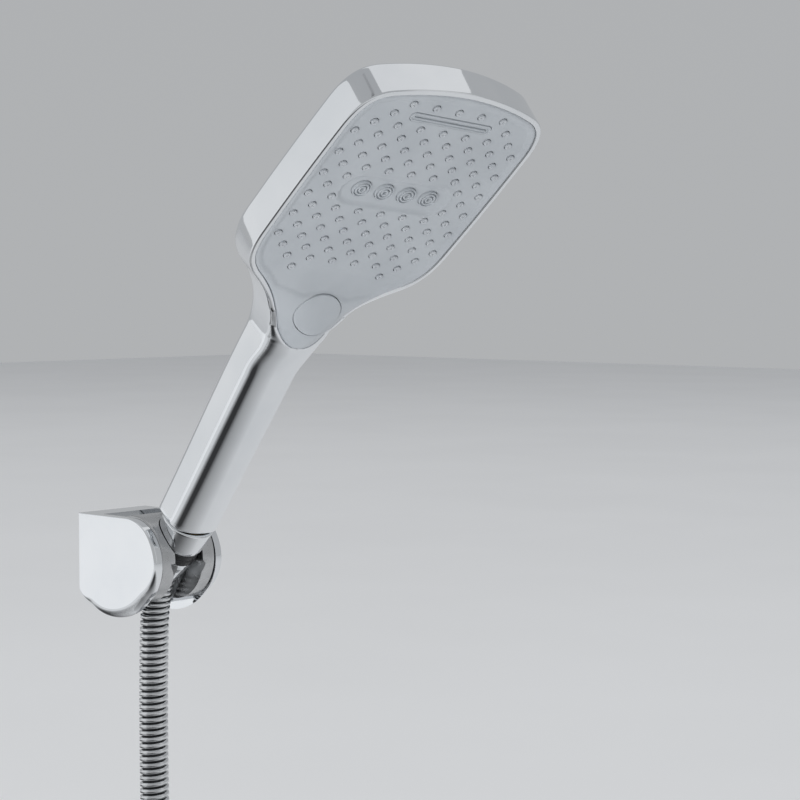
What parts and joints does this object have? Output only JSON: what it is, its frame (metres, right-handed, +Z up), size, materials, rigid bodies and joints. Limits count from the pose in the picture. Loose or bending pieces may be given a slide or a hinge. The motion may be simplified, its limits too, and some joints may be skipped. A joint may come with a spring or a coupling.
{
  "type": "handheld shower head with wall holder",
  "caption": "Hand shower with a rounded square spray face and push-button spray selector, in a tilting wall holder, with its metal hose put away in a coil.",
  "frame": {"origin": "on the wall face of the holder's mounting plate, level with the cradle's pivot, in the middle of the holder's width", "axes": "+X out of the wall, +Z up, +Y along the wall to the right as seen from behind the holder; the cradle tilts about Y"},
  "size_m": [0.2461, 0.206, 0.5387],
  "materials": {
    "polished_chrome": "mirror-polished chrome plating",
    "satin_chrome": "satin pearl chrome plating",
    "plain_steel": "plain stainless steel",
    "hose_steel": "polished interlocked stainless steel strip",
    "bare_brass": "machined brass",
    "grey_plastic": "light grey satin plastic",
    "grey_silicone": "soft grey silicone",
    "white_plastic": "natural white moulded plastic",
    "black_plastic": "black moulded plastic",
    "black_rubber": "black sealing rubber"
  },
  "bodies": {
    "holder": {"wall_base": "polished_chrome", "wall_plate": "plain_steel", "lock_screw": "plain_steel", "pivot_pin_left": "plain_steel", "pivot_pin_right": "plain_steel"},
    "cradle": {"cradle": "satin_chrome", "friction_washer_left": "black_plastic", "friction_washer_right": "black_plastic"},
    "hose_end": {"hose_tail_upper": "bare_brass", "swivel_collar": "black_plastic", "hose_ferrule_upper": "polished_chrome"},
    "handset": {"handset_shell": "polished_chrome", "spray_faceplate": "grey_plastic", "nozzle_mat": "grey_silicone", "waterfall_lip": "grey_plastic", "massage_nozzle_1": "grey_plastic", "massage_nozzle_2": "grey_plastic", "massage_nozzle_3": "grey_plastic", "massage_nozzle_4": "grey_plastic", "water_divider": "white_plastic", "chamber_seal": "black_rubber", "chamber_cap": "white_plastic", "button_spring": "plain_steel", "rotor_seal": "black_rubber", "valve_body": "white_plastic", "inner_waterway": "white_plastic", "waterway_seal": "black_rubber", "inlet_filter": "white_plastic", "inlet_washer": "black_rubber", "inlet_fitting": "bare_brass", "cone_nut": "polished_chrome"},
    "button": {"mode_button": "grey_plastic"},
    "selector": {"selector_rotor": "white_plastic"},
    "hose": {"hose_tube": "hose_steel", "hose_coil": "hose_steel", "hose_tail_stretch": "hose_steel", "hose_tie": "black_plastic", "hose_ferrule_lower": "polished_chrome", "hose_tail_lower": "bare_brass"},
    "nut": {"wall_nut": "polished_chrome", "outlet_washer": "black_rubber"}
  },
  "joints": [
    {"name": "cradle_tilt", "type": "hinge", "parent": "holder", "child": "cradle", "pos_m": [0.036, 0, 0], "axis": [0, 1, 0], "range_deg": [-35, 25]},
    {"name": "handset_lift", "type": "slide", "parent": "cradle", "child": "hose_end", "axis": [0.5736, 0, 0.8192], "range_m": [0, 0.06]},
    {"name": "handset_turn", "type": "hinge", "parent": "hose_end", "child": "handset", "pos_m": [0.05759, 0, 0.01968], "axis": [0.5736, 0, 0.8192], "continuous": true},
    {"name": "button_press", "type": "slide", "parent": "handset", "child": "button", "axis": [-0.8086, 0.1599, 0.5662], "range_m": [0, 0.002], "stiffness_N_per_m": 1500, "deforming": ["button_spring"]},
    {"name": "selector_turn", "type": "hinge", "parent": "handset", "child": "selector", "pos_m": [0.13387, 0, 0.12862], "axis": [0.8086, -0.1599, -0.5662], "range_deg": [0, 60]},
    {"name": "hose_hang", "type": "hinge", "parent": "hose_end", "child": "hose", "pos_m": [0.03964, 0, -0.00596], "axis": [0, 1, 0], "range_deg": [-25, 35], "deforming": ["hose_tube"]},
    {"name": "wall_nut_turn", "type": "hinge", "parent": "hose", "child": "nut", "pos_m": [0.0753, 0, -0.305], "axis": [0, 0, 1], "continuous": true}
  ],
  "couplings": [
    {"joint": "selector_turn", "follows": "button_press", "rad_per_m": 523.6},
    {"joint": "hose_hang", "follows": "cradle_tilt", "ratio": -1}
  ]
}
